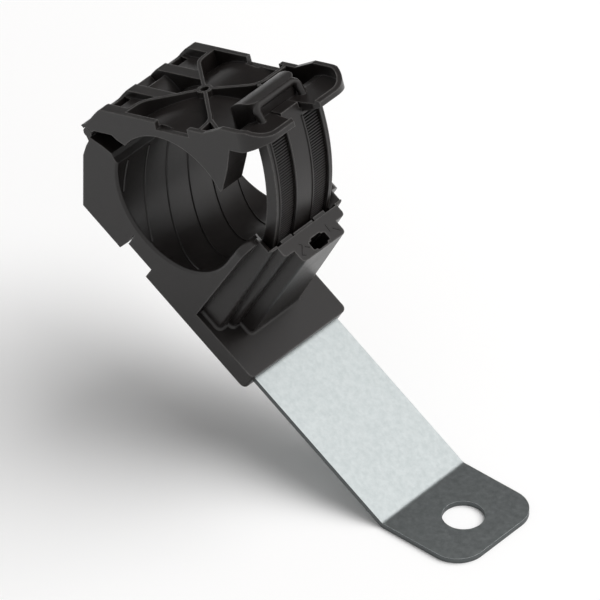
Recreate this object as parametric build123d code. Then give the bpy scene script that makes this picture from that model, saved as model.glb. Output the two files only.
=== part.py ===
from build123d import *
import os
from math import cos, degrees, radians, sin, sqrt, tan

# Driving sizes, in millimetres and degrees

# Steel strip
strip_thickness = 1.2
strip_width = 26.0
strip_bend = 30.0
bend_radius = 1.5
bolt_hole = 9.0
hole_to_bend = 11.05
hole_to_end = 10.4
tab_corner = 6.5
strip_run = 40.2
strip_buried = 29.5
anchor_hole = 7.0

# Cradle and holder, all one moulding
bundle = 32.0
clamp_width = 30.0
saddle_floor = 5.9
tower_offset = 19.9
skin_above = 1.9
skin_below = 1.5
cradle_wall = 2.1
edge_round = 0.7
fit_gap = 0.05

# Hinge
hinge_out = 8.06
hinge_drop = 6.49
knuckle_radius = 1.1
toe_wall = 0.8
hook_wall = 3.2
hook_width = 6.0
hook_start = -25
hook_end = 104
window_width = 6.4
window_reach = 6.3
land_width = 2.9
land_drop = 0.35
side_pocket = 4.6
pocket_length = 1.9
pocket_depth = 3.6
saddle_width = 6.2
saddle_drop = 1.6
hump_drop = 1.3
hinge_gap = 0.12

# Upper jaw, drawn in its own frame with the bore centre as its origin
jaw_tilt = 46.8
jaw_cover = 3.6
jaw_shell = 2.2
jaw_rim = 1.2
rib_wall = 0.8
rib_bend = 4.0
hub_radius = 1.7
hub_hole = 1.0
fin_depth = 6.1
pad_overhang = 14.0
pad_side_rise = 2.1
pad_depth = 0.25
pad_thickness = 2.7
pad_rim = 1.0
pad_corner = 6.0
stop_rise = 3.7
stop_width = 14.4
stop_corner = 3.4
stop_face = 5.9
bead_radius = 0.9
bead_bend = 1.6
notch_flare = 1.5

# Strap and latch
strap_clearance = 6.5
strap_depth = 2.8
strap_width = 17.4
strap_tail = 14.0
strap_end = 6.2
tooth_pitch = 0.66
tooth_depth = 0.5
track_sink = 0.5
track_width = 4.6
track_gap = 0.15
guide_width = 5.3
channel_gap = 0.35
tower_height = 31.0
tower_round = 0.9
wall_corner = 3.0
wall_drop = 1.5
holder_corner = 1.3
slot_reach = 5.3
slot_side = 0.4
mouth_side = 3.0
mouth_depth = 2.4
pawl_length = 14.0
pawl_drop = 1.2
pawl_thickness = 0.8
pawl_width = 3.4
pawl_gap = 0.12
keyhole_slot = 2.0
keyhole_length = 2.9
keyhole_width = 4.9
keyhole_depth = 7.5
close_angle = 28.0

# Steps of the tower: reach past the bore, low and high, then half width, low and high
tower_steps = (
    (7.6, 5.5, 13.3, 11.3),
    (8.9, 8.0, 10.4, 9.4),
    (12.2, 11.1, 7.9, 6.6),
)

# Values that follow
bore = bundle / 2
half = clamp_width / 2
strip_top = -bore - saddle_floor
slab_top = strip_top + skin_above
slab_bottom = strip_top - strip_thickness - skin_below
tower_top = strip_top + tower_height
hinge_x = -bore - hinge_out
hinge_z = -hinge_drop
holder_front = bore + tower_offset
strap_outer = bore - hinge_x + strap_clearance
strap_inner = strap_outer - strap_depth
jaw_top = bore + jaw_cover
shell_radius = bore + jaw_shell
pad_reach = bore + pad_overhang
pad_floor = jaw_top - pad_depth
seat_radius = knuckle_radius + hinge_gap
toe_radius = seat_radius + toe_wall
hook_inner = toe_radius + hinge_gap
crest_radius = strap_outer - track_sink
root_radius = crest_radius - tooth_depth
track_offset = (guide_width + track_width) / 2 + track_gap
pawl_top = tower_top - pawl_drop
pawl_root = tower_top - pawl_length
land_top = jaw_top - land_drop

# The clamp leans back with the strip, its bore centre this far from the bolt hole
bend = Vector(-hole_to_bend, 0, strip_thickness)
clamp_place = Location(bend, (0, strip_bend, 0)) * Pos(-strip_run - holder_front, 0, -strip_top)
jaw_place = clamp_place * Rot(0, -jaw_tilt, 0)


def turned(x, z, angle):
    # A point of the side view, turned anticlockwise about the bore centre
    a = radians(angle)
    return x * cos(a) - z * sin(a), x * sin(a) + z * cos(a)


def polar(radius, angle):
    return radius * cos(radians(angle)), radius * sin(radians(angle))


jaw_hinge_x, jaw_hinge_z = turned(hinge_x, hinge_z, -jaw_tilt)
window_right = jaw_hinge_x + window_reach
pocket_left = window_right - pocket_length
hub_x = 0.05 * bore
rib_turn = (-0.58 * bore, 0.56 * bore)
rib_end_x = -0.6 * bore


def outline(*points):
    return make_face(Polyline(*points, close=True))


def across(face, width, centre=0.0):
    # A face of the side view made solid over a width of the clamp
    return Pos(0, centre, 0) * extrude(Plane.XZ * face, width / 2, both=True)


def both_sides(face, inner, outer):
    # The same strip of solid near the front and near the back face
    middle = (inner + outer) / 2
    width = outer - inner
    return across(face, width, middle) + across(face, width, -middle)


def ring_sector(centre, inner, outer, start, end):
    # Part of a flat ring about a point of the side view, from one angle to another
    cx, cz = centre
    mid = (start + end) / 2

    def at(radius, angle):
        x, z = polar(radius, angle)
        return cx + x, cz + z

    edges = [
        ThreePointArc(at(outer, start), at(outer, mid), at(outer, end)),
        Line(at(outer, end), at(inner, end)),
        ThreePointArc(at(inner, end), at(inner, mid), at(inner, start)),
        Line(at(inner, start), at(outer, start)),
    ]
    return make_face(edges)


# Steel strip with its tab flat and its run rising to the clamp

def steel_bracket():
    slope = radians(strip_bend)
    length = strip_run + strip_buried
    up_x, up_z = -cos(slope), sin(slope)
    far_x = bend.X + length * up_x
    far_z = bend.Z + length * up_z
    corner = strip_thickness * tan(slope / 2)
    side = outline(
        (hole_to_end, 0),
        (hole_to_end, strip_thickness),
        (bend.X, bend.Z),
        (far_x, far_z),
        (far_x - strip_thickness * sin(slope), far_z - strip_thickness * cos(slope)),
        (bend.X - corner, 0),
    )
    corners = side.vertices().sort_by_distance((bend.X, bend.Z / 2, 0))
    side = fillet(corners.filter_by(lambda v: v.Y > bend.Z / 2)[0], bend_radius)
    lower = side.vertices().sort_by_distance((bend.X - corner, 0, 0))[0]
    side = fillet(lower, bend_radius + strip_thickness)
    strip = across(side, strip_width)
    ends = strip.edges().filter_by(Axis.Z).sort_by(Axis.X)[-2:]
    strip = fillet(ends, tab_corner)
    strip -= Cylinder(bolt_hole / 2, 4 * strip_thickness)
    buried_middle = -strip_run - strip_buried / 2
    hole = Cylinder(anchor_hole / 2, 4 * strip_thickness)
    strip -= Location(bend, (0, strip_bend, 0)) * Pos(buried_middle, 0, 0) * hole
    return strip


# Lower moulding: cradle, hinge knuckle, holder round the strip, latch tower

def cradle():
    foot_x = -bore + 0.7
    neck_z = hinge_z - knuckle_radius - 0.5
    recess_left = -0.18 * bore
    recess_right = 0.29 * bore
    recess_top = strip_top + 0.4
    side = outline(
        (foot_x, slab_bottom),
        (hinge_x + 2.2, hinge_z - 6.3),
        (hinge_x + 1.5, hinge_z - 3.4),
        (hinge_x + 1.3, neck_z),
        (hinge_x, hinge_z - knuckle_radius + 0.2),
        (hinge_x + 0.4, hinge_z),
        (hinge_x + 1.2, hinge_z - 0.4),
        (hinge_x + 4.3, hinge_z + 0.8),
        (hinge_x + 6.8, hinge_z + 1.5),
        (-bore - 0.3, hinge_z + 1.0),
        (-bore * 0.8, hinge_z),
        (bore * 0.8, hinge_z),
        (bore * 0.8, 0),
        (bore, 0),
        (bore, tower_top - wall_drop),
        (bore + cradle_wall, tower_top - wall_drop),
        (bore + cradle_wall, slab_top),
        (holder_front, slab_top),
        (holder_front, slab_bottom),
        (recess_right, slab_bottom),
        (recess_right, recess_top),
        (recess_left, recess_top),
        (recess_left - 0.6, slab_bottom),
    )
    block = across(side, clamp_width)
    wall_ends = block.edges().filter_by(Axis.X).group_by(Axis.Z)[-1]
    block = fillet(wall_ends, wall_corner)
    block = fillet(block.edges().filter_by(Axis.Z).group_by(Axis.X)[-1], holder_corner)
    block -= across(Circle(bore), 2 * clamp_width)
    rims = block.edges().filter_by(GeomType.CIRCLE).filter_by(lambda e: abs(e.radius - bore) < 0.01)
    block = fillet(rims, edge_round)
    knuckle = across(Pos(hinge_x, hinge_z) * Circle(knuckle_radius), clamp_width)
    slit = across(Pos(recess_left + 0.15, recess_top + 1.6) * Rectangle(0.3, 3.4), clamp_width + 1)
    return block + knuckle - slit


def hook():
    # Rises behind the toe of the jaw inside the middle window and leans over it
    centre = (hinge_x, hinge_z)
    face = ring_sector(centre, hook_inner, hook_inner + hook_wall, hook_start, hook_end)
    return across(face, hook_width)


def tower_step(low_reach, high_reach, low_half, high_half):
    # One tapered step of the tower, rising from the holder out of the cradle wall
    def level(z, reach, half_width):
        inner = bore + cradle_wall / 2
        length = bore + reach - inner
        plan = Pos(inner + length / 2, 0) * Rectangle(length, 2 * half_width)
        plan = fillet(plan.vertices().sort_by(Axis.X)[-2:], tower_round)
        return Pos(0, 0, z) * plan

    low = level(slab_top - skin_above / 2, low_reach, low_half)
    high = level(tower_top, high_reach, high_half)
    return loft([low, high])


def channel_x(radius, z):
    # Where a circle about the hinge stands at a height
    return hinge_x + sqrt(radius**2 - (z - hinge_z) ** 2)


def strap_room():
    # Everything the strap and the pawls need cut out of the tower
    width = strap_width + 2 * slot_side
    inner = strap_inner - channel_gap
    outer = strap_outer + channel_gap
    low_angle = strap_tail - close_angle - 2.5
    sweep = ring_sector((hinge_x, hinge_z), inner, outer, low_angle, 40)
    pocket = outline(
        (bore + 1, tower_top + 1),
        (bore + slot_reach, tower_top + 1),
        (bore + slot_reach, tower_top - 1),
        (channel_x(outer, pawl_root) + 0.9, pawl_root),
        (channel_x(outer, pawl_root) - 1.0, pawl_root),
    )
    throat = outline(
        (bore / 2, tower_top + 1),
        (bore + 3, tower_top + 1),
        (bore + 3, 0.5),
        (bore / 2, 0.5),
    )
    return across(sweep, width) + across(pocket, width) + across(throat, width)


def slot_mouth():
    # The top of the slot flares towards both ends, leaving a thin lip
    narrow = strap_width / 2 + slot_side
    wide = narrow + mouth_side
    flare = outline(
        (-wide, tower_top + 0.1),
        (wide, tower_top + 0.1),
        (narrow, tower_top - mouth_depth),
        (-narrow, tower_top - mouth_depth),
    )
    length = slot_reach - slot_side + bore / 2
    return Pos(bore / 2, 0, 0) * extrude(Plane.YZ * flare, length)


def pawl():
    # A springy arm rooted low in the tower, with one tooth that meets the strap's track
    outer = strap_outer + channel_gap
    tip_z = pawl_top - 1.7
    root_x = channel_x(outer, pawl_root) + 0.15
    top_x = bore + slot_reach - 0.15 - pawl_thickness
    arm = outline(
        (top_x, pawl_top),
        (top_x + pawl_thickness, pawl_top),
        (root_x + pawl_thickness + 0.4, pawl_root - 0.3),
        (root_x, pawl_root - 0.3),
    )
    tooth = outline(
        (top_x + 0.2, tip_z + 0.9),
        (channel_x(crest_radius + pawl_gap, tip_z), tip_z),
        (top_x + 0.5, tip_z - 3.0),
    )
    sweep = Pos(hinge_x, hinge_z) * Circle(crest_radius + pawl_gap)
    return across(arm + tooth - sweep, pawl_width)


def guide_block():
    # Fills the middle of the slot between the pawls, clear of the strap's smooth rib
    outer = strap_outer + channel_gap
    face = outline(
        (bore + slot_reach - 1, pawl_top),
        (bore + slot_reach + 0.5, pawl_top),
        (bore + slot_reach + 3.0, pawl_root - 0.3),
        (channel_x(outer, pawl_root) - 1, pawl_root - 0.3),
    )
    face -= Pos(hinge_x, hinge_z) * Circle(outer)
    return across(face, 2 * (track_offset - pawl_width / 2 - 0.5))


def keyhole():
    middle = bore + tower_steps[1][1] + 1.3
    plan = RectangleRounded(keyhole_slot, keyhole_width, 0.4)
    plan += RectangleRounded(keyhole_length, keyhole_width * 0.64, 0.4)
    hole = extrude(plan, keyhole_depth)
    return Pos(middle, 0, tower_top - keyhole_depth) * hole


def strip_pocket():
    # The space that the buried end of the strip and its anchor hole leave in the moulding
    length = strip_buried + 1
    width = strip_width + 2 * fit_gap
    pocket = Box(length, width, strip_thickness + 2 * fit_gap)
    middle = holder_front - strip_buried / 2 + 0.5 - fit_gap
    pocket = Pos(middle, 0, strip_top - strip_thickness / 2) * pocket
    peg_x = holder_front - strip_buried / 2
    peg = Cylinder(anchor_hole / 2 - fit_gap, 4 * strip_thickness)
    return pocket - Pos(peg_x, 0, strip_top) * peg


def lower_moulding():
    body = cradle()
    for step in tower_steps:
        body += tower_step(*step)
    body -= strap_room()
    body -= slot_mouth()
    body += Pos(0, track_offset, 0) * pawl() + Pos(0, -track_offset, 0) * pawl()
    body += guide_block()
    body -= keyhole()
    body -= strip_pocket()
    body += hook()
    return clamp_place * body


# Upper moulding, drawn level with its flat top up, its bore centre at the origin

def jaw_plan(reach, half_width, corner):
    # The jaw seen from above, round at the two corners of its thumb pad
    length = reach + 2 * bore
    plan = Pos(reach - length / 2, 0) * Rectangle(length, 2 * half_width)
    plan = fillet(plan.vertices().sort_by(Axis.X)[-2:], corner)
    return extrude(plan, 2 * bore)


def jaw_block():
    x, z = jaw_hinge_x, jaw_hinge_z
    pad_top = jaw_top + pad_side_rise
    side = outline(
        (x, z + toe_radius),
        (x + 2.6, z + 4.2),
        (x + 3.6, z + 5.1),
        (x + 5.0, z + 6.2),
        (x + 5.6, jaw_top),
        (bore - 2, jaw_top),
        (bore + 3.5, pad_top),
        (pad_reach - 4, pad_top),
        (pad_reach, jaw_top),
        (pad_reach, jaw_top - 1.2),
        (pad_reach - 5.5, jaw_top - pad_thickness),
        (bore + 2.5, jaw_top - pad_thickness),
        (bore * 0.77, bore * 0.64),
        (bore * 0.6, bore * 0.5),
        (-bore * 0.6, bore * 0.5),
        (-bore * 0.67, bore * 0.75),
        (-shell_radius * 0.7, shell_radius * 0.71),
        (x + 7.2, z + 0.8),
        (x + 1.2, z + 0.8),
    )
    toe = ring_sector((x, z), seat_radius, toe_radius, 15, 132)
    body = across(side, clamp_width) + across(toe, clamp_width)
    body -= across(Circle(bore), 2 * clamp_width)
    body -= across(Pos(x, z) * Circle(seat_radius), 2 * clamp_width)
    return body & jaw_plan(pad_reach, half, pad_corner)


def hinge_window():
    # The opening that the hook stands in, which leaves the toe as a bar
    x, z = jaw_hinge_x, jaw_hinge_z
    block = Pos((x - 4 + window_right) / 2, z + 3) * Rectangle(window_right - x + 4, 14)
    return across(block - Pos(x, z) * Circle(toe_radius), window_width)


def side_saddles():
    # Between the lands the deck dips, holds a blind pocket and sweeps up to the rib
    low = jaw_top - saddle_drop
    toe_top = (jaw_hinge_x, jaw_hinge_z + toe_radius)
    bar = (pocket_left, low)
    brink = (window_right, low - 0.3)
    rise = (-0.35 * bore, jaw_top - 0.6)
    sweep = [
        Line((jaw_hinge_x, 2 * bore), toe_top),
        Line(toe_top, bar),
        Line(bar, brink),
        ThreePointArc(brink, (-0.72 * bore, low - 0.05), rise),
        Line(rise, (rise[0], 2 * bore)),
        Line((rise[0], 2 * bore), (jaw_hinge_x, 2 * bore)),
    ]
    start = window_width / 2 + land_width
    dips = both_sides(make_face(sweep), start, start + saddle_width)
    middle = (pocket_left + window_right) / 2
    pocket = Pos(middle, low) * Rectangle(pocket_length, 2 * pocket_depth)
    pocket_start = start + 0.5
    return dips + both_sides(pocket, pocket_start, pocket_start + side_pocket)


def middle_channel():
    # From the window a rounded hump falls between the lands to the shell of the arch
    low = jaw_top - hump_drop - 1.1
    brink = (window_right, low)
    crown = (window_right + 1.0, jaw_top - hump_drop)
    foot = (-0.64 * bore, 0.93 * bore)
    face = make_face([
        Line((window_right - 1, low), brink),
        ThreePointArc(brink, (window_right + 0.35, low + 0.75), crown),
        ThreePointArc(crown, (-0.77 * bore, 1.085 * bore), foot),
        Line(foot, (hub_x, bore / 2)),
        Line((hub_x, bore / 2), (hub_x, 2 * bore)),
        Line((hub_x, 2 * bore), (window_right - 1, 2 * bore)),
        Line((window_right - 1, 2 * bore), (window_right - 1, low)),
    ])
    return across(face - Circle(shell_radius), window_width)


def deck_top():
    # The deck beside the hinge lies a little below the ribs
    face = outline(
        (jaw_hinge_x, land_top),
        (hub_x, land_top),
        (hub_x, 2 * bore),
        (jaw_hinge_x, 2 * bore),
    )
    return across(face, window_width + 2 * land_width + 0.4)


def hinge_side_plan():
    # The plan of everything on the hinge's side of the two long ribs
    far = 2 * bore
    points = [(hub_x, 0), (rib_turn[0], rib_turn[1]), (rib_end_x, half), (rib_end_x, far), (-far, far)]
    lower = [(x, -y) for x, y in reversed(points[1:])]
    return extrude(outline(*points, *lower), 2 * bore)


def rib(*points):
    # A thin upright rib along a route of the plan, round at its turns
    if len(points) > 2:
        route = FilletPolyline(*points, radius=rib_bend)
    else:
        route = Polyline(*points)
    return extrude(trace(route, rib_wall), jaw_top)


def jaw_ribs():
    hub = (hub_x, 0)
    turn_x, turn_y = rib_turn
    front_fork = (0.72 * bore, -half + 5.2)
    back_fork = (0.70 * bore, 0.35 * bore)
    routes = [
        (hub, (turn_x, turn_y), (rib_end_x, half)),
        (hub, (turn_x, -turn_y), (rib_end_x, -half)),
        (hub, front_fork, (0.77 * bore, -half)),
        (front_fork, (1.06 * bore, -half + 2.0)),
        (hub, back_fork, (0.70 * bore, half)),
        (back_fork, (0.9 * bore, 0.26 * bore)),
    ]
    ribs = extrude(Pos(*hub) * Circle(hub_radius), jaw_top)
    for route in routes:
        ribs += rib(*route)
    return ribs - extrude(Pos(*hub) * Circle(hub_hole), jaw_top)


def jaw_cavity():
    # The open top of the jaw, down to the arch shell and to the floor of the thumb pad
    side = outline(
        (rib_end_x - 1, 2 * bore),
        (rib_end_x - 1, bore * 0.7),
        (bore * 0.84, bore * 0.7),
        (bore + 3.4, pad_floor - 0.8),
        (bore + 6.0, pad_floor),
        (pad_reach + 1, pad_floor),
        (pad_reach + 1, 2 * bore),
    )
    room = across(side - Circle(shell_radius), clamp_width)
    room &= jaw_plan(pad_reach - pad_rim, half - jaw_rim, pad_corner - pad_rim)
    return room - hinge_side_plan()


def rim_notches():
    # The rim dips beside the crown of the arch
    face = Pos(0.3 * bore, jaw_top + 1.2) * Rectangle(0.58 * bore, 6.0)
    return both_sides(face, half - jaw_rim - 0.5, half + 1)


def finger_stop():
    # A raised block before the thumb pad: a rounded ramp, a flat top and an upright face
    top = jaw_top + stop_rise
    face_x = bore + stop_face
    foot_x = bore * 0.83
    low = jaw_top / 2
    profile = make_face([
        Line((foot_x, low), (foot_x, jaw_top - 1.3)),
        ThreePointArc((foot_x, jaw_top - 1.3), (foot_x + 2.0, jaw_top + 2.0), (face_x - 2.2, top)),
        Line((face_x - 2.2, top), (face_x, top)),
        Line((face_x, top), (face_x, pad_floor - 1)),
        Line((face_x, pad_floor - 1), (foot_x, low)),
    ])
    plan = Pos((foot_x + face_x) / 2, 0) * Rectangle(face_x - foot_x, stop_width)
    plan = fillet(plan.vertices().sort_by(Axis.X)[:2], stop_corner)
    plan = fillet(plan.vertices().sort_by(Axis.X)[-2:], bead_radius + bead_bend)
    return (across(profile, stop_width) & extrude(plan, 2 * bore)) + stop_bead(face_x, top)


def stop_bead(face_x, top):
    # A round bead along the top of the finger stop, with a leg down to the pad at each end
    side = stop_width / 2 - bead_radius
    bar = (face_x - 0.2, top - bead_radius)
    foot = (face_x + 1.3, pad_floor - 0.6)
    path = FilletPolyline(
        (foot[0], -side, foot[1]),
        (bar[0], -side, bar[1]),
        (bar[0], side, bar[1]),
        (foot[0], side, foot[1]),
        radius=bead_bend,
    )
    return sweep((path ^ 0) * Circle(bead_radius), path=path)


def pad_notch():
    # Clears the strap's middle rib and flares to the free edge of the thumb pad
    tip = bore + 8.3
    narrow = guide_width / 2 + 0.25
    plan = outline(
        (tip, narrow),
        (pad_reach - 1.6, narrow + 0.5),
        (pad_reach + 1, narrow + notch_flare),
        (pad_reach + 1, -narrow - notch_flare),
        (pad_reach - 1.6, -narrow - 0.5),
        (tip, -narrow),
    )
    return extrude(plan, 2 * bore)


def fins():
    face = outline(
        (bore * 0.5, bore + 1),
        (bore * 0.5, bore * 0.3),
        (bore * 0.93, bore * 0.37),
        (bore * 0.975, bore * 0.4),
        (bore * 1.17, bore * 0.75),
        (bore + 5.1, jaw_top - 2.0),
    )
    return both_sides(face - Circle(bore), half - fin_depth, half)


def strap():
    centre = (jaw_hinge_x, jaw_hinge_z)
    start = strap_tail - jaw_tilt
    end = strap_end
    band = across(ring_sector(centre, strap_inner, strap_outer, start, end), strap_width)
    guide = ring_sector(centre, strap_inner, strap_outer, end - 2, end + 6)
    below_top = Pos(strap_outer + jaw_hinge_x, 0) * Rectangle(4 * bore, 2 * jaw_top)
    band += across(guide & below_top, guide_width)
    track = ring_sector(centre, root_radius, strap_outer + 2, start - 2, end - 2)
    lane_start = track_offset - track_width / 2
    lane_end = track_offset + track_width / 2
    band -= both_sides(track, lane_start, lane_end)
    band += both_sides(tooth_row(centre, start, end - 2), lane_start - 0.1, lane_end + 0.1)
    return band


def tooth_row(centre, start, end):
    # Ratchet teeth: each rises gently from the tail side and drops square towards the jaw
    step = degrees(tooth_pitch / crest_radius)
    count = int((end - start) / step)
    points = []
    for index in range(count):
        low = start + index * step
        points.append(polar(root_radius, low))
        points.append(polar(crest_radius, low + step * 0.86))
        points.append(polar(root_radius, low + step * 0.98))
    points.append(polar(bore, start + count * step))
    points.append(polar(bore, start))
    return Pos(*centre) * (outline(*points) - Circle(root_radius - tooth_depth))


def upper_moulding():
    hollow = jaw_cavity() - jaw_ribs()
    body = jaw_block() + fins()
    body -= hollow
    body -= (middle_channel() & hinge_side_plan()) - jaw_ribs()
    body -= (deck_top() & hinge_side_plan()) - jaw_ribs()
    body -= (side_saddles() & hinge_side_plan()) - jaw_ribs()
    body -= rim_notches()
    body -= hinge_window()
    body -= pad_notch()
    body += finger_stop()
    body += strap()
    return jaw_place * body


os.makedirs("parts", exist_ok=True)
nodes = {
    "steel_bracket": steel_bracket(),
    "clamp_base": lower_moulding(),
    "clamp_jaw": upper_moulding(),
}
for name, solid in nodes.items():
    solid.label = name
    export_step(solid, f"parts/{name}.step")
    print(name, len(solid.solids()), round(solid.volume), solid.bounding_box().size)
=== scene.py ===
import bmesh
import bpy
import math
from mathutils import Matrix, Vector


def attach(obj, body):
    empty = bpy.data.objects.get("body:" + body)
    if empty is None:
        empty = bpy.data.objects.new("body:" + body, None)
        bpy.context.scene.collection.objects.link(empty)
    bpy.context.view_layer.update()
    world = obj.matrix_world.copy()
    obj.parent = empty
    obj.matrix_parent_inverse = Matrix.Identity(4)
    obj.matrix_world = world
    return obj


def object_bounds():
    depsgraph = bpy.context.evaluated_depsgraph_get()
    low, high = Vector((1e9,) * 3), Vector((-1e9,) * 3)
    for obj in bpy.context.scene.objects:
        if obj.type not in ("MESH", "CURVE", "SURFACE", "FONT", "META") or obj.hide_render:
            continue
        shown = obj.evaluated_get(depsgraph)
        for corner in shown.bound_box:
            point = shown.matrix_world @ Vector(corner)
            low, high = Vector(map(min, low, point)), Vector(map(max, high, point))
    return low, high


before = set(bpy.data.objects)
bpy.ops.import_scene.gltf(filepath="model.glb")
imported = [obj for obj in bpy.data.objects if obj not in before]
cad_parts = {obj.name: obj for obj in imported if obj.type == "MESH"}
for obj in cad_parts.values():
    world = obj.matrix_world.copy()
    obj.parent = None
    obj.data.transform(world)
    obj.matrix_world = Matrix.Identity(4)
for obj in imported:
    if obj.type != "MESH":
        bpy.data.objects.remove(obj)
cadLow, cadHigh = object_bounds()
middle = (cadLow + cadHigh) / 2
print("frame loaded:", sorted(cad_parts))


def addObject(name, data):
    item = bpy.data.objects.new(name, data)
    bpy.context.scene.collection.objects.link(item)
    return item


def feed(tree, node, inputs):
    # each input, by name or number, takes a plain value or another node's output
    for key, source in inputs.items():
        if isinstance(source, bpy.types.NodeSocket):
            tree.links.new(source, node.inputs[key])
        else:
            node.inputs[key].default_value = source


def addNode(tree, kind, inputs=None, **settings):
    node = tree.nodes.new(kind)
    for key, value in settings.items():
        setattr(node, key, value)
    feed(tree, node, inputs or {})
    return node


def remap(tree, value, fromMin, fromMax, toMin=0.0, toMax=1.0):
    ends = {"Value": value, "From Min": fromMin, "From Max": fromMax, "To Min": toMin, "To Max": toMax}
    return addNode(tree, "ShaderNodeMapRange", ends).outputs["Result"]


def calculate(tree, operation, *values):
    return addNode(tree, "ShaderNodeMath", dict(enumerate(values)), operation=operation).outputs["Value"]


def mixed(tree, kind, factor, first, second):
    ends = {"Factor": factor, "A": first, "B": second}
    return addNode(tree, "ShaderNodeMix", ends, data_type=kind).outputs["Result"]


def newGroup(name, inputs, outputs):
    # sockets as name, kind and, for an input, its starting value
    group = bpy.data.node_groups.new(name, "ShaderNodeTree")
    for label, kind, value in inputs:
        socket = group.interface.new_socket(name=label, in_out="INPUT", socket_type=kind)
        socket.default_value = value
    for label, kind in outputs:
        group.interface.new_socket(name=label, in_out="OUTPUT", socket_type=kind)
    return group, group.nodes.new("NodeGroupInput"), group.nodes.new("NodeGroupOutput")


def newMaterial(name):
    material = bpy.data.materials.new(name)
    material.use_nodes = True
    material.node_tree.nodes.clear()
    return material, material.node_tree


# soft blotches and fine grain, as a colour, a roughness and a height
mottleShape = {
    "blotchDetail": 4.0,
    "blotchRough": 0.62,
    "grainDetail": 2.0,
    "paleRange": (0.34, 0.66),   # of the blotch noise, from dark to pale
    "roughRange": (0.35, 0.65),  # of blotch and grain together
}


def makeMottleGroup():
    look = mottleShape
    group, start, end = newGroup("surfaceMottle", (
        ("Dark", "NodeSocketColor", (0.1, 0.1, 0.1, 1)),
        ("Pale", "NodeSocketColor", (0.2, 0.2, 0.2, 1)),
        ("Blotch Scale", "NodeSocketFloat", 200.0),
        ("Grain Scale", "NodeSocketFloat", 3000.0),
        ("Rough Low", "NodeSocketFloat", 0.4),
        ("Rough High", "NodeSocketFloat", 0.5),
    ), (("Colour", "NodeSocketColor"), ("Roughness", "NodeSocketFloat"), ("Height", "NodeSocketFloat")))
    given = start.outputs
    place = addNode(group, "ShaderNodeTexCoord").outputs["Object"]
    blotch = addNode(group, "ShaderNodeTexNoise", {
        "Vector": place, "Scale": given["Blotch Scale"],
        "Detail": look["blotchDetail"], "Roughness": look["blotchRough"]}).outputs["Fac"]
    grain = addNode(group, "ShaderNodeTexNoise", {
        "Vector": place, "Scale": given["Grain Scale"], "Detail": look["grainDetail"]}).outputs["Fac"]
    colour = mixed(group, "RGBA", remap(group, blotch, *look["paleRange"]), given["Dark"], given["Pale"])
    average = calculate(group, "MULTIPLY", calculate(group, "ADD", grain, blotch), 0.5)
    rough = remap(group, average, *look["roughRange"], given["Rough Low"], given["Rough High"])
    feed(group, end, {"Colour": colour, "Roughness": rough, "Height": grain})
    return group


edgeSamples = 6      # rays that feel for a nearby edge

# painted highlight along outer edges, as a mask: 1 along an edge, 0 on open faces and down in corners
paintedHighlightShape = {
    "turnRange": (0.985, 0.86),  # cosine of the edge's turn, from no wear to full wear
    "cornerReach": 0.0006,       # metres, how near a wall makes a corner
    "openRange": (0.70, 0.92),   # how open the place is, from corner to outer edge
    "patchRange": (0.30, 0.60),  # of the noise that breaks the wear up
    "leastHighlight": 0.55,
}


def makePaintedHighlightGroup():
    look = paintedHighlightShape
    group, start, end = newGroup("paintedEdgeHighlight", (
        ("Radius", "NodeSocketFloat", 0.0003),
        ("Breakup Scale", "NodeSocketFloat", 900.0),
    ), (("Edge Highlight", "NodeSocketFloat"),))
    rounded = addNode(group, "ShaderNodeBevel", {"Radius": start.outputs["Radius"]}, samples=edgeSamples)
    surface = addNode(group, "ShaderNodeNewGeometry")
    both = {0: rounded.outputs["Normal"], 1: surface.outputs["Normal"]}
    turn = addNode(group, "ShaderNodeVectorMath", both, operation="DOT_PRODUCT").outputs["Value"]
    nearby = addNode(group, "ShaderNodeAmbientOcclusion", {"Distance": look["cornerReach"]},
                     samples=edgeSamples, only_local=True).outputs["AO"]
    place = addNode(group, "ShaderNodeTexCoord").outputs["Object"]
    patches = addNode(group, "ShaderNodeTexNoise", {
        "Vector": place, "Scale": start.outputs["Breakup Scale"]}).outputs["Fac"]
    edge = remap(group, turn, *look["turnRange"])
    outer = remap(group, nearby, *look["openRange"])
    uneven = remap(group, patches, *look["patchRange"], look["leastHighlight"])
    edgeHighlight = calculate(group, "MULTIPLY", calculate(group, "MULTIPLY", edge, outer), uneven)
    feed(group, end, {"Edge Highlight": edgeHighlight})
    return group


def makeSoftEdgeGroup():
    # fine bump laid over edges that the light sees as slightly rounded
    group, start, end = newGroup("softenedEdges", (
        ("Height", "NodeSocketFloat", 0.5),
        ("Bump Height", "NodeSocketFloat", 0.00001),
        ("Radius", "NodeSocketFloat", 0.0002),
    ), (("Normal", "NodeSocketVector"),))
    rounded = addNode(group, "ShaderNodeBevel", {"Radius": start.outputs["Radius"]}, samples=edgeSamples)
    bump = addNode(group, "ShaderNodeBump", {
        "Height": start.outputs["Height"], "Distance": start.outputs["Bump Height"],
        "Normal": rounded.outputs["Normal"]})
    feed(group, end, {"Normal": bump.outputs["Normal"]})
    return group


mottle = makeMottleGroup()
paintedEdgeHighlight = makePaintedHighlightGroup()
softenedEdges = makeSoftEdgeGroup()


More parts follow.
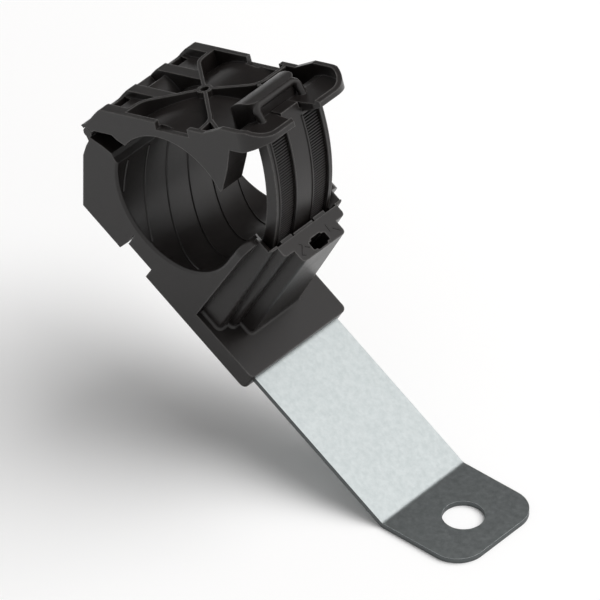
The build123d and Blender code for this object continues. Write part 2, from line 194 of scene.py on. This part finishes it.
def addFinish(tree, look, blotchScale, highlightWidth):
    # what both finishes share: a colour with a painted highlight along its edges, a roughness and a
    # normal
    skin = addNode(tree, "ShaderNodeGroup", {
        "Dark": look["darkColour"], "Pale": look["paleColour"],
        "Blotch Scale": blotchScale, "Grain Scale": look["grainScale"],
        "Rough Low": look["roughLow"], "Rough High": look["roughHigh"]}, node_tree=mottle).outputs
    edgeHighlight = addNode(tree, "ShaderNodeGroup", {
        "Radius": highlightWidth, "Breakup Scale": look["highlightBreakup"]}, node_tree=paintedEdgeHighlight).outputs["Edge Highlight"]
    soft = addNode(tree, "ShaderNodeGroup", {
        "Height": skin["Height"], "Bump Height": look["bumpHeight"],
        "Radius": look["edgeRadius"]}, node_tree=softenedEdges).outputs["Normal"]
    return mixed(tree, "RGBA", edgeHighlight, skin["Colour"], look["paintedHighlightColour"]), skin["Roughness"], soft


# the black mouldings
nylon = {
    "darkColour": (0.0078, 0.0064, 0.0060, 1.0),
    "paleColour": (0.0114, 0.0095, 0.0089, 1.0),
    "blotchScale": 160.0,        # across a metre
    "jawBlotchScale": 177.0,     # so that the two mouldings aren't blotched alike
    "grainScale": 1 / 0.00022,   # the mould's fine texture
    "bumpHeight": 0.000012,
    "roughLow": 0.30,
    "roughHigh": 0.40,
    "edgeRadius": 0.00018,
    # pale colour painted along edges as a highlight, standing in for light on rounded edges
    "paintedHighlightColour": (0.085, 0.081, 0.078, 1.0),
    "highlightWidth": 0.00060,        # metres in from an edge, how far the painted highlight reaches
    "highlightBreakup": 900.0,
    "specular": 0.5,
    "index": 1.44,
}


def makeNylon(name, blotchScale, highlightWidth):
    material, tree = newMaterial(name)
    colour, rough, normal = addFinish(tree, nylon, blotchScale, highlightWidth)
    shader = addNode(tree, "ShaderNodeBsdfPrincipled", {
        "Base Color": colour, "Roughness": rough, "Normal": normal,
        "IOR": nylon["index"], "Specular IOR Level": nylon["specular"]})
    addNode(tree, "ShaderNodeOutputMaterial", {"Surface": shader.outputs["BSDF"]})
    return material


# the strip's zinc coating
zinc = {
    "darkColour": (0.420, 0.452, 0.454, 1.0),
    "paleColour": (0.511, 0.543, 0.544, 1.0),
    "blotchScale": 1 / 0.0013,   # the spangle
    "grainScale": 2600.0,
    "bumpHeight": 0.000010,
    "roughLow": 0.30,
    "roughHigh": 0.40,
    "edgeRadius": 0.00012,
    # pale colour painted along edges as a highlight, standing in for light on rounded edges
    "paintedHighlightColour": (0.60, 0.63, 0.63, 1.0),
    "highlightWidth": 0.00020,
    "highlightBreakup": 700.0,
    "cutColour": (0.120, 0.129, 0.130, 1.0),     # sheared edges and the hole's wall
    "cutRough": 0.55,
    "cutRange": (0.32, 0.16),    # how much a face looks up or down, from coated to cut
}


def makeZinc(name):
    material, tree = newMaterial(name)
    coated, coatedRough, normal = addFinish(tree, zinc, zinc["blotchScale"], zinc["highlightWidth"])
    # sheared edges stand upright on the sheet, and are darker and duller than its coated faces
    place = addNode(tree, "ShaderNodeTexCoord").outputs["Normal"]
    upward = addNode(tree, "ShaderNodeSeparateXYZ", {"Vector": place}).outputs["Z"]
    cut = remap(tree, calculate(tree, "ABSOLUTE", upward), *zinc["cutRange"])
    shader = addNode(tree, "ShaderNodeBsdfPrincipled", {
        "Base Color": mixed(tree, "RGBA", cut, coated, zinc["cutColour"]),
        "Roughness": mixed(tree, "FLOAT", cut, coatedRough, zinc["cutRough"]),
        "Normal": normal, "Metallic": 1.0})
    addNode(tree, "ShaderNodeOutputMaterial", {"Surface": shader.outputs["BSDF"]})
    return material


def dress(nodeName, material):
    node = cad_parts[nodeName]
    node.data.materials.clear()
    node.data.materials.append(material)


dress("steel_bracket", makeZinc("galvanisedSteel"))
dress("clamp_base", makeNylon("bodyNylon", nylon["blotchScale"], nylon["highlightWidth"]))
dress("clamp_jaw", makeNylon("jawNylon", nylon["jawBlotchScale"], nylon["highlightWidth"]))
bodyTrim = makeNylon("bodyTrimNylon", nylon["blotchScale"], 0.0)     # fine pieces get no painted edge highlight
jawTrim = makeNylon("jawTrimNylon", nylon["jawBlotchScale"], 0.0)
print("materials made")

# where the clamp stands: its shapes below are in millimetres from its bore centre
clampPlace = {
    "bend": (-0.01105, 0.0, 0.0012),     # metres
    "slope": math.radians(30),           # it leans back with the strip
    "boreAlong": -76.1,
    "boreAbove": 21.9,
    "jawTilt": math.radians(46.8),       # the jaw's own frame, about the bore centre
}


def clampPoint(x, y, z):
    along = (x + clampPlace["boreAlong"]) / 1000
    above = (z + clampPlace["boreAbove"]) / 1000
    c, s = math.cos(clampPlace["slope"]), math.sin(clampPlace["slope"])
    bendX, bendY, bendZ = clampPlace["bend"]
    return bendX + along * c + above * s, bendY + y / 1000, bendZ - along * s + above * c


def jawPoint(x, y, z):
    c, s = math.cos(clampPlace["jawTilt"]), math.sin(clampPlace["jawTilt"])
    return clampPoint(x * c - z * s, y, x * s + z * c)


def addSweep(shape, rings, place=clampPoint):
    # skin between rings of points, closed at both ends
    rows = [[shape.verts.new(place(*point)) for point in ring] for ring in rings]
    count = len(rows[0])
    for near, far in zip(rows, rows[1:]):
        for index in range(count):
            after = (index + 1) % count
            shape.faces.new((near[index], near[after], far[after], far[index]))
    shape.faces.new(list(reversed(rows[0])))
    shape.faces.new(rows[-1])


def ringsAlong(route, profile, level):
    # the profile's points, across and up, stood on each point of a route in plan
    rings = []
    for index, here in enumerate(route):
        runs = []
        if index > 0:
            runs.append((here - route[index - 1]).normalized())
        if index < len(route) - 1:
            runs.append((route[index + 1] - here).normalized())
        heading = sum(runs, Vector((0, 0))).normalized()
        out = Vector((heading.y, -heading.x)) / max(heading.dot(runs[0]), 0.5)   # longer at a corner
        rings.append([(here.x + out.x * across, here.y + out.y * across, level + up)
                      for across, up in profile])
    return rings


creaseAngle = math.radians(40)       # faces that meet more sharply keep their edge


def finishPiece(name, shape, material, body):
    bmesh.ops.recalc_face_normals(shape, faces=shape.faces[:])
    mesh = bpy.data.meshes.new(name)
    shape.to_mesh(mesh)
    shape.free()
    for face in mesh.polygons:
        face.use_smooth = True
    mesh.set_sharp_from_angle(angle=creaseAngle)
    mesh.materials.append(material)
    piece = addObject(name, mesh)
    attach(piece, body)


# grip ridges that run aslant round the bore
boreRidge = {
    "radius": 16.0,
    "height": 0.27,
    "shoulder": 0.6,         # of the height, at its shoulders
    "width": 0.48,
    "sink": 0.08,            # under the skin of the bore
    "slant": -0.59,          # sideways for each millimetre along
    "places": (-20.1, -13.4, -6.6, 0.1, 6.8, 13.6, 20.3),
    "startAngle": 205.0,
    "endAngle": 354.0,
    "halfWidth": 14.0,       # a ridge stops here, short of the bore's ends
    "steps": 120,
    "fewestRings": 6,        # a shorter ridge is left out
}


def makeBoreRidges():
    look = boreRidge
    shape = bmesh.new()
    shoulder = look["shoulder"] * look["height"]
    profile = ((-0.5, -look["sink"]), (-0.3, shoulder), (0, look["height"]),
               (0.3, shoulder), (0.5, -look["sink"]))
    for middleY in look["places"]:
        rings = []
        for step in range(look["steps"] + 1):
            share = step / look["steps"]
            angle = math.radians(look["startAngle"] + share * (look["endAngle"] - look["startAngle"]))
            y = middleY + look["slant"] * look["radius"] * math.cos(angle)
            if abs(y) > look["halfWidth"]:
                continue
            ring = []
            for side, rise in profile:
                reach = look["radius"] - rise
                ring.append((reach * math.cos(angle), y + side * look["width"], reach * math.sin(angle)))
            rings.append(ring)
        if len(rings) >= look["fewestRings"]:
            addSweep(shape, rings)
    finishPiece("bore_ridges", shape, bodyTrim, "bracket_and_base")


# fillet round the foot of the tower, where it stands on the holder
footFillet = {
    "level": -20.0,
    "size": 0.55,
    "sizeSteps": 6,
    "behind": 0.2,           # into the tower
    "sink": 0.12,            # into the holder
    "cornerRadius": 0.9,
    "cornerSteps": 5,
    # half of the foot's outline: along, half width, and whether the corner is round
    "outline": ((18.2, 13.24, False), (23.53, 13.24, True), (23.53, 10.37, False),
                (24.87, 10.37, True), (24.87, 7.86, False), (28.165, 7.86, True)),
}


def roundedRoute(corners, radius, steps):
    # a route in plan with its round corners drawn as short runs
    route = []
    for index, (x, y, isRound) in enumerate(corners):
        here = Vector((x, y))
        if not isRound:
            route.append(here)
            continue
        before = (Vector(corners[index - 1][:2]) - here).normalized()
        after = (Vector(corners[index + 1][:2]) - here).normalized()
        centre = here + (before + after) * radius
        for step in range(steps + 1):
            turn = math.pi / 2 * step / steps
            route.append(centre - after * radius * math.cos(turn) - before * radius * math.sin(turn))
    return route


def makeFootFillet():
    look = footFillet
    near = [(x, -y, isRound) for x, y, isRound in look["outline"]]
    far = [(x, y, isRound) for x, y, isRound in reversed(look["outline"])]
    route = roundedRoute(near + far, look["cornerRadius"], look["cornerSteps"])
    size = look["size"]
    profile = [(-look["behind"], 0.9 * size)]
    for step in range(look["sizeSteps"] + 1):
        turn = math.pi / 2 * step / look["sizeSteps"]
        profile.append((size * (1 - math.cos(turn)), size * (1 - math.sin(turn))))
    profile += [(size, -look["sink"]), (-look["behind"], -look["sink"])]
    shape = bmesh.new()
    addSweep(shape, ringsAlong(route, profile, look["level"]))
    finishPiece("foot_fillet", shape, bodyTrim, "bracket_and_base")


# plain raised strokes on top of the tower, beside the keyhole
topMarks = {
    "level": 9.1,
    "height": 0.10,
    "shoulder": 0.4,         # of the height, at its sides
    "sink": 0.08,
    "width": 0.26,
    "strokes": (
        ((23.35, -4.50), (23.90, -3.95), (25.60, -5.60), (26.10, -4.90)),
        ((24.50, -3.70), (25.25, -2.85)),
        ((23.25, 3.85), (25.05, 3.70)),
        ((24.80, 4.75), (26.05, 5.90)),
    ),
}


def makeTopMarks():
    look = topMarks
    half, high = look["width"] / 2, look["height"]
    side = look["shoulder"] * high
    profile = ((-half, -look["sink"]), (-half, side), (-0.5 * half, high),
               (0.5 * half, high), (half, side), (half, -look["sink"]))
    shape = bmesh.new()
    for stroke in look["strokes"]:
        addSweep(shape, ringsAlong([Vector(point) for point in stroke], profile, look["level"]))
    finishPiece("top_marks", shape, bodyTrim, "bracket_and_base")


# the strap's rounded tooth crests and the raised rails beside them
strapTrack = {
    "hinge": (-21.197, 13.097),
    "startAngle": -32.8,
    "endAngle": 4.2,
    "laneStart": 2.85,       # a row of teeth, from the strap's middle
    "laneEnd": 7.35,
    "crestRadius": 46.06,
    "toothStep": 0.821,      # degrees
    "crestShare": 0.80,      # of a step, where the crest stands
    "crestHalf": 0.17,
    "crestProfile": ((-1.1, -1.3), (-0.95, 0.0), (-0.7, 0.4), (0.7, 0.4), (0.95, 0.0), (0.9, -1.3)),
    "railRadius": 46.56,
    "railWidth": 0.45,
    "railHeight": 0.20,
    "railSink": 0.1,
    "railGap": 0.05,         # from the teeth
    "railLate": 0.3,         # degrees after the strap's end
    "railSteps": 60,
}


def strapPoint(radius, angle, y):
    hingeX, hingeZ = strapTrack["hinge"]
    turn = math.radians(angle)
    return hingeX + radius * math.cos(turn), y, hingeZ + radius * math.sin(turn)


def makeToothCrests():
    look = strapTrack
    shape = bmesh.new()
    half = look["crestHalf"]
    spread = math.degrees(half / look["crestRadius"])
    count = int((look["endAngle"] - look["startAngle"]) / look["toothStep"])
    for index in range(count):
        angle = look["startAngle"] + (index + look["crestShare"]) * look["toothStep"]
        for side in (-1, 1):
            rings = [[strapPoint(look["crestRadius"] + up * half, angle + turn * spread, y)
                      for turn, up in look["crestProfile"]]
                     for y in (side * look["laneStart"], side * look["laneEnd"])]
            addSweep(shape, rings, jawPoint)
    finishPiece("tooth_crests", shape, jawTrim, "jaw")


def makeStrapRails():
    look = strapTrack
    shape = bmesh.new()
    wide, high, sink = look["railWidth"], look["railHeight"], look["railSink"]
    profile = ((0, -sink), (0, 0.6 * high), (0.25 * wide, high),
               (0.75 * wide, high), (wide, 0.6 * high), (wide, -sink))
    first = look["startAngle"] + look["railLate"]
    angles = [first + (look["endAngle"] - first) * step / look["railSteps"]
              for step in range(look["railSteps"] + 1)]
    for side in (-1, 1):
        for inner in (look["laneStart"] - look["railGap"] - wide, look["laneEnd"] + look["railGap"]):
            rings = [[strapPoint(look["railRadius"] + up, angle, side * (inner + across))
                      for across, up in profile] for angle in angles]
            addSweep(shape, rings, jawPoint)
    finishPiece("strap_rails", shape, jawTrim, "jaw")


makeBoreRidges()
makeFootFillet()
makeTopMarks()
makeToothCrests()
makeStrapRails()
print("moulded details made")


def seenRay(tree):
    # 1 for camera, glossy and transmission rays, 0 for the light that falls on the object
    path = addNode(tree, "ShaderNodeLightPath").outputs
    direct = calculate(tree, "MAXIMUM", path["Is Camera Ray"], path["Is Glossy Ray"])
    return calculate(tree, "MAXIMUM", direct, path["Is Transmission Ray"])


# the pale surroundings
surroundings = {
    "colour": (1.0, 1.0, 1.0, 1.0),
    "seen": 1.0,             # strength for camera, glossy and transmission rays
    "diffuse": 0.28,         # strength of what lights the object
}


def makeWorld():
    world = bpy.data.worlds.new("paleStudio")
    world.use_nodes = True
    tree = world.node_tree
    tree.nodes.clear()
    strength = remap(tree, seenRay(tree), 0.0, 1.0, surroundings["diffuse"], surroundings["seen"])
    background = addNode(tree, "ShaderNodeBackground", {
        "Color": surroundings["colour"], "Strength": strength})
    addNode(tree, "ShaderNodeOutputWorld", {"Surface": background.outputs["Background"]})
    bpy.context.scene.world = world


def addRectangle(name, wide, tall, level, material):
    x, y = wide / 2, tall / 2
    mesh = bpy.data.meshes.new(name)
    mesh.from_pydata([(-x, -y, level), (x, -y, level), (x, y, level), (-x, y, level)], [], [(0, 1, 2, 3)])
    mesh.materials.append(material)
    return addObject(name, mesh)


# the floor under the tab
floorLook = {
    "size": 6.0,
    "drop": 0.00002,         # just under the tab
    "colour": (0.80, 0.80, 0.80, 1.0),           # for the light that it throws back
    "seenColour": (0.962, 0.958, 0.955, 1.0),    # for the camera and reflections
}


def makeFloor():
    material, tree = newMaterial("paleFloor")
    plain = addNode(tree, "ShaderNodeBsdfDiffuse", {"Color": floorLook["colour"]})
    seen = addNode(tree, "ShaderNodeBsdfDiffuse", {"Color": floorLook["seenColour"]})
    choose = addNode(tree, "ShaderNodeMixShader", {
        "Fac": seenRay(tree), 1: plain.outputs["BSDF"], 2: seen.outputs["BSDF"]})
    addNode(tree, "ShaderNodeOutputMaterial", {"Surface": choose.outputs["Shader"]})
    level = cadLow.z - floorLook["drop"]
    floor = addRectangle("floor", floorLook["size"], floorLook["size"], level, material)


def aimAtMiddle(item, look):
    away = Vector(look["direction"]).normalized()
    item.location = middle + away * look["distance"]
    item.rotation_mode = "QUATERNION"
    item.rotation_quaternion = away.to_track_quat("Z", "Y")


# two soft lamps: metres and watts
keyLamp = {
    "direction": (0.34, 0.44, 0.84),
    "distance": 2.0,
    "size": 2.0,
    "power": 48.0,
}

fillLamp = {
    "direction": (0.80, -0.45, 0.60),
    "distance": 2.0,
    "size": 1.6,
    "power": 1.5,
}


def makeLamp(name, look):
    lamp = bpy.data.lights.new(name, "AREA")
    lamp.shape = "SQUARE"
    lamp.size = look["size"]
    lamp.energy = look["power"]
    item = addObject(name, lamp)
    item.visible_glossy = False     # lights the part, but its square shows in no face
    aimAtMiddle(item, look)


# two cards that only reflections see, glowing from their low edge to their high edge
darkCard = {
    "direction": (-0.56, 0.62, 0.60),
    "distance": 0.6,
    "size": (1.15, 0.60),
    "glow": (0.01, 0.18),
}

softBox = {
    "direction": (0.317, 0.585, 0.748),
    "distance": 0.8,
    "size": (0.85, 0.85),
    "glow": (1.65, 1.65),
}


def makeCard(name, look):
    wide, tall = look["size"]
    material, tree = newMaterial(name)
    place = addNode(tree, "ShaderNodeTexCoord").outputs["Object"]
    height = addNode(tree, "ShaderNodeSeparateXYZ", {"Vector": place}).outputs["Y"]
    strength = remap(tree, height, -tall / 2, tall / 2, *look["glow"])
    glow = addNode(tree, "ShaderNodeEmission", {"Strength": strength})
    addNode(tree, "ShaderNodeOutputMaterial", {"Surface": glow.outputs["Emission"]})
    card = addRectangle(name, wide, tall, 0, material)
    aimAtMiddle(card, look)
    card.visible_camera = False
    card.visible_diffuse = False
    card.visible_shadow = False
    card.visible_transmission = False


makeWorld()
makeFloor()
makeLamp("keyLamp", keyLamp)
makeLamp("fillLamp", fillLamp)
makeCard("darkCard", darkCard)
makeCard("softBox", softBox)
print("floor and lights made")

camera = {
    "azimuth": 39.912,       # degrees, 0 looks along +Y
    "elevation": 40.371,
    "distance": 2.58,        # metres from the bolt hole
    "pixelsPerMm": 4.822,    # at the bolt hole
    "originPixel": (465.84, 517.76),
    "imagePixels": 600,
    "sensor": 36.0,
    "farthest": 20.0,
}


def makeCamera():
    az, el = math.radians(camera["azimuth"]), math.radians(camera["elevation"])
    back = Vector((math.sin(az) * math.cos(el), -math.cos(az) * math.cos(el), math.sin(el)))
    right = Vector((math.cos(az), math.sin(az), 0))
    up = back.cross(right)
    half = camera["imagePixels"] / 2
    perMetre = camera["pixelsPerMm"] * 1000
    pixelX, pixelY = camera["originPixel"]
    target = right * ((half - pixelX) / perMetre) + up * ((pixelY - half) / perMetre)
    place = back * camera["distance"]
    data = bpy.data.cameras.new("camera")
    data.sensor_width = camera["sensor"]
    data.lens = perMetre * camera["distance"] * camera["sensor"] / camera["imagePixels"]
    data.clip_end = camera["farthest"]
    item = addObject("camera", data)
    item.location = place
    item.rotation_mode = "QUATERNION"
    item.rotation_quaternion = (place - target).to_track_quat("Z", "Y")
    bpy.context.scene.camera = item


makeCamera()
bpy.context.scene.view_settings.view_transform = "Standard"
print("camera made")
